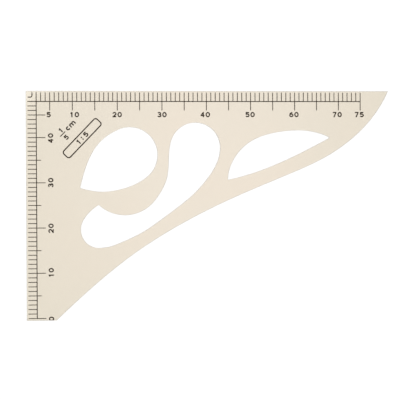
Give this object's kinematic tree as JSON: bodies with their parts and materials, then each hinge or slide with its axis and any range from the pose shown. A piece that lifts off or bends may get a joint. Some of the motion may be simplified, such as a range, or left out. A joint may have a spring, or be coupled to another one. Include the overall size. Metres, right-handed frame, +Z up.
{
  "type": "multifunction drafting square",
  "caption": "Flat clear plastic square with two printed reduced-scale rulers at a right angle, an S-curved side and egg, comma and leaf openings for drawing curves.",
  "frame": {"origin": "middle of the square's overall length and width, on the face it rests on", "axes": "+X along the long scale, away from the right angle; +Y along the short scale, towards the right angle; +Z up, out of the printed face"},
  "size_m": [0.1634, 0.1018, 0.0016],
  "materials": {
    "clear_plastic": "clear, faintly beige, gloss",
    "print_ink": "printed dark brown-black"
  },
  "bodies": {
    "root": {"plate": "clear_plastic", "scale_lines": "print_ink"}
  },
  "joints": []
}
